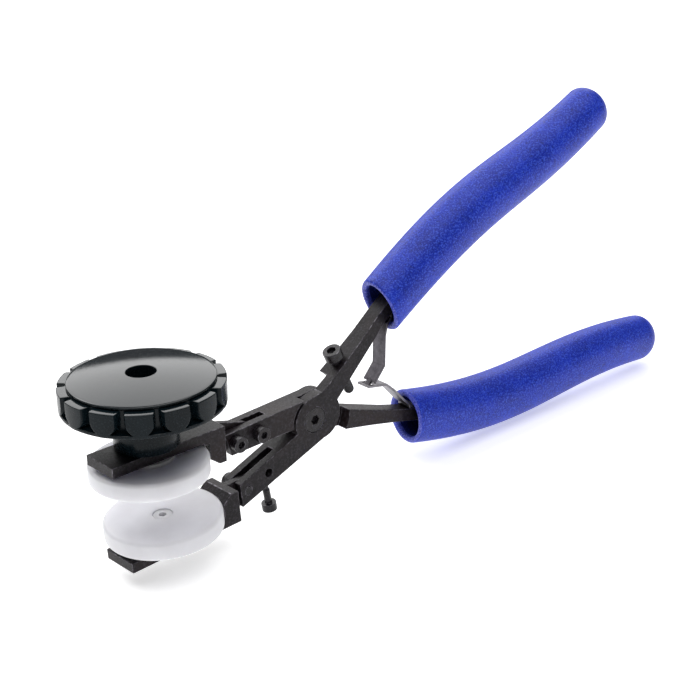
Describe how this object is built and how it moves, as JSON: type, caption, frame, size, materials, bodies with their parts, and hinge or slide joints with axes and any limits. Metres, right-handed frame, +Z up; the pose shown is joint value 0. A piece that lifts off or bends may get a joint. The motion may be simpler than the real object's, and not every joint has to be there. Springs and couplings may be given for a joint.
{
  "type": "adjustable round-pad pliers",
  "caption": "Black steel pliers with blue sleeve grips, leaf springs, two round white nylon pads, and a lobed black hand knob that turns the upper pad.",
  "frame": {"origin": "centre of the upper pad's working face, which faces down", "axes": "+Z up along the hand knob's axis, away from the lower pad; +X along the handles, away from the pads; the side with the upper bracket's screw heads is -Y"},
  "size_m": [0.2267, 0.045, 0.1],
  "materials": {
    "black_steel": "black-oxide steel, satin",
    "screw_black": "black-oxide alloy screws",
    "spring_grey": "plain spring steel",
    "knob_black": "glossy black plastic",
    "nylon": "translucent white nylon",
    "grip_blue": "blue dipped vinyl sleeve, finely mottled"
  },
  "bodies": {
    "upper_jaw": {"upper_jaw_lever": "black_steel", "pivot_screw": "screw_black", "lower_grip": "grip_blue", "upper_bracket": "black_steel", "upper_bracket_screw": "screw_black", "upper_lock_screw": "screw_black"},
    "lower_jaw": {"lower_jaw_lever": "black_steel", "upper_grip": "grip_blue", "lower_bracket_screw": "screw_black"},
    "lower_bracket_body": {"lower_bracket": "black_steel", "lower_pad_screw": "nylon", "lower_pad_washer": "nylon"},
    "lower_pad_body": {"lower_pad": "nylon"},
    "knob": {"hand_knob": "knob_black", "knob_screw": "screw_black", "spindle": "spring_grey", "upper_pad_washer": "nylon", "upper_pad": "nylon", "upper_pad_screw": "nylon"},
    "stop": {"stop_screw": "screw_black"},
    "tilt": {"tilt_screw": "screw_black"},
    "upper_spring": {"upper_leaf_spring": "spring_grey"},
    "lower_spring": {"lower_leaf_spring": "spring_grey"}
  },
  "joints": [
    {"name": "handle_pivot", "type": "hinge", "parent": "upper_jaw", "child": "lower_jaw", "pos_m": [0.05517, 0, -0.00059], "axis": [0, 1, 0], "range_deg": [0, 9.5], "stiffness_Nm_per_rad": 2, "springref_deg": -17.19},
    {"name": "knob_turn", "type": "hinge", "parent": "upper_jaw", "child": "knob", "pos_m": [0, 0, 0.02], "axis": [0, 0, 1], "continuous": true},
    {"name": "lower_bracket_tilt", "type": "hinge", "parent": "lower_jaw", "child": "lower_bracket_body", "pos_m": [0.03002, 0, -0.01398], "axis": [0, 1, 0], "range_deg": [-6.5, 2]},
    {"name": "lower_pad_turn", "type": "hinge", "parent": "lower_bracket_body", "child": "lower_pad_body", "pos_m": [0.0031, 0, -0.01248], "axis": [-0.0558, 0, 0.9984], "continuous": true},
    {"name": "stop_screw_travel", "type": "slide", "parent": "lower_jaw", "child": "stop", "axis": [-0.4003, 0, 0.9164], "range_m": [-0.0005, 0.003]},
    {"name": "tilt_screw_travel", "type": "slide", "parent": "lower_bracket_body", "child": "tilt", "axis": [-0.1495, 0, 0.9888], "range_m": [-0.003, 0.002]},
    {"name": "upper_spring_flex", "type": "hinge", "parent": "lower_jaw", "child": "upper_spring", "pos_m": [0.08717, 0, 0.02191], "axis": [0, 1, 0], "range_deg": [0, 7.7]},
    {"name": "lower_spring_flex", "type": "hinge", "parent": "upper_jaw", "child": "lower_spring", "pos_m": [0.09337, 0, -0.00889], "axis": [0, 1, 0], "range_deg": [-11, 0]}
  ],
  "couplings": [
    {"joint": "upper_spring_flex", "follows": "handle_pivot", "ratio": 0.8065},
    {"joint": "lower_spring_flex", "follows": "handle_pivot", "ratio": -1.1525}
  ]
}
